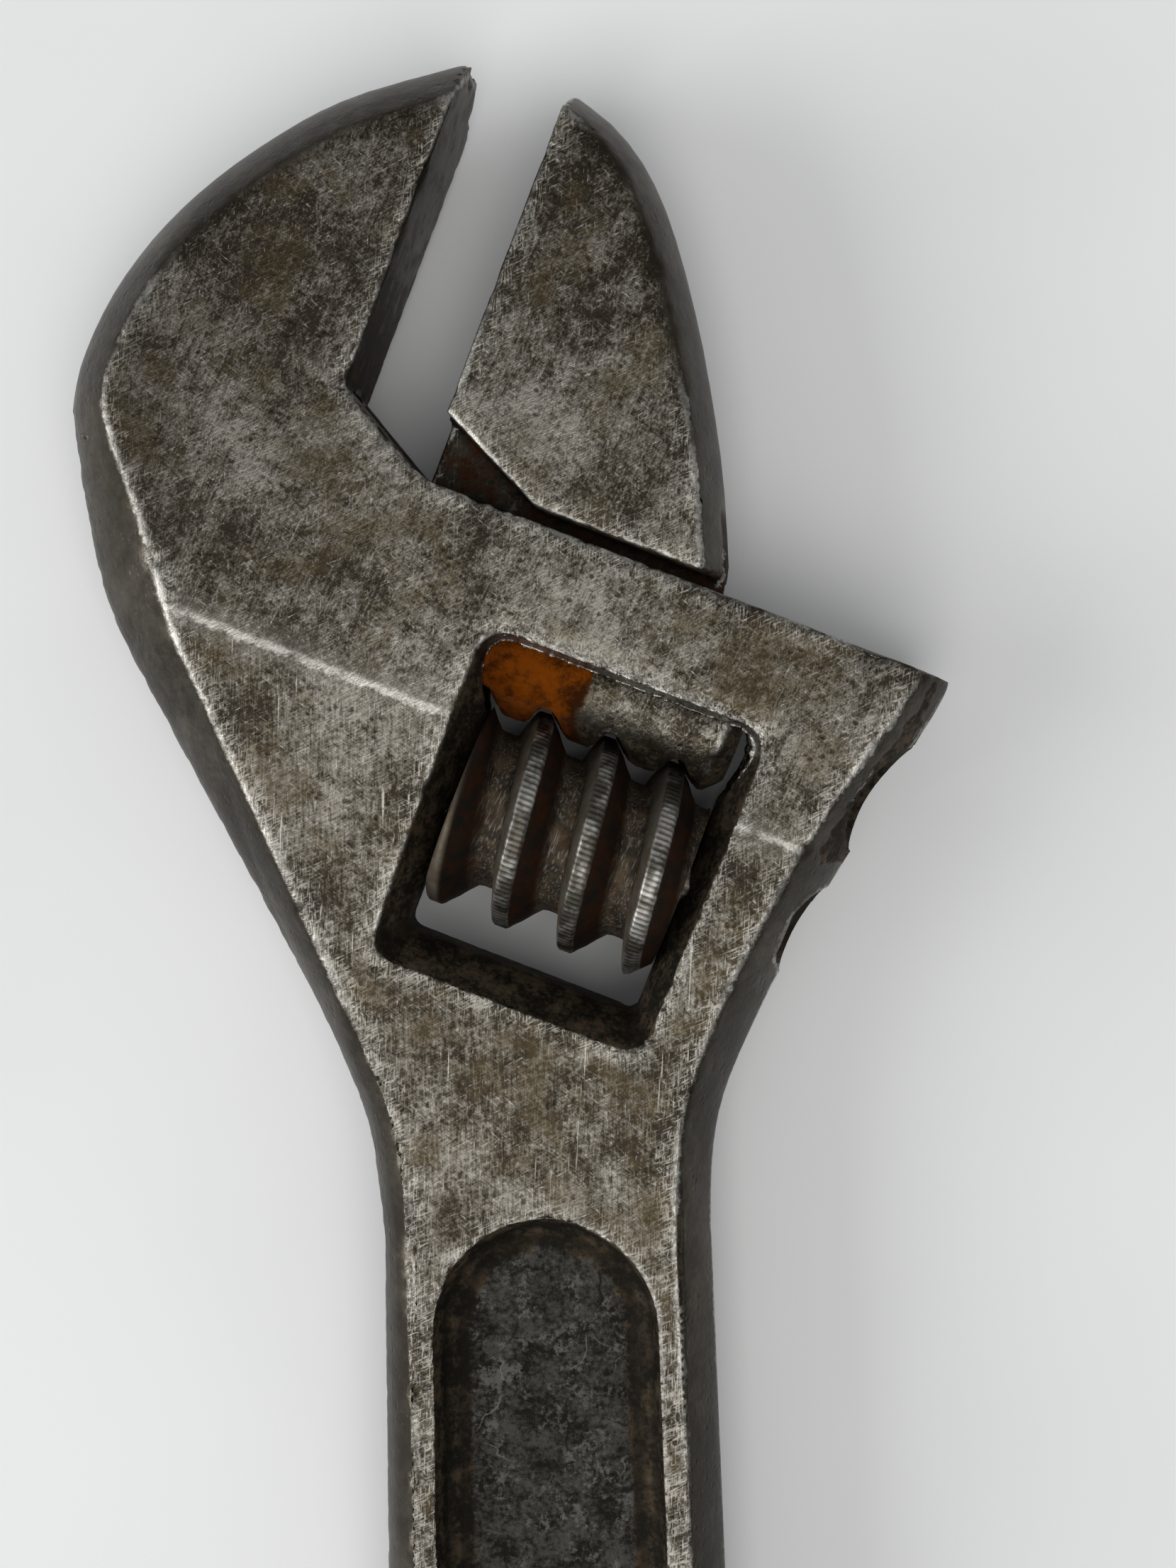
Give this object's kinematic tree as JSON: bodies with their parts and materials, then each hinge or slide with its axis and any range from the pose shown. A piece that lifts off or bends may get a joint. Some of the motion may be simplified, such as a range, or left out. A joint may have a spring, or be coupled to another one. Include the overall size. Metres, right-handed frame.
{
  "type": "adjustable wrench",
  "caption": "Adjustable wrench: forged handle with a fixed jaw, a jaw that slides on a rack bar, and a knurled worm that sets the opening.",
  "frame": {"origin": "centre of the bounding box in X and Y, at the lowest point, which is the underside of the adjusting worm", "axes": "+Y along the handle towards the jaws, +Z square to the flat faces, +X towards the shoulder that the slide opens through"},
  "size_m": [0.08, 0.305, 0.0201],
  "materials": {
    "forged_steel": "worn bare forged steel with grey-brown patina",
    "jaw_steel": "worn bare forged steel, rust in the corners",
    "worm_steel": "brown patina with bright worn crests",
    "pin_steel": "dark oily steel",
    "spring_steel": "dark spring steel"
  },
  "bodies": {
    "frame": {"forged_frame": "forged_steel", "worm_pin": "pin_steel", "worm_spring": "spring_steel"},
    "jaw": {"sliding_jaw": "jaw_steel"},
    "worm": {"adjusting_worm": "worm_steel"}
  },
  "joints": [
    {"name": "jaw_slide", "type": "slide", "parent": "frame", "child": "jaw", "axis": [0.9239, -0.3827, 0], "range_m": [-0.0089, 0.025]},
    {"name": "worm_spin", "type": "hinge", "parent": "frame", "child": "worm", "pos_m": [0.00524, 0.08132, 0.01005], "axis": [0.9239, -0.3827, 0], "range_deg": [-1440, 540]}
  ],
  "couplings": [
    {"joint": "worm_spin", "follows": "jaw_slide", "rad_per_m": -981.75}
  ]
}
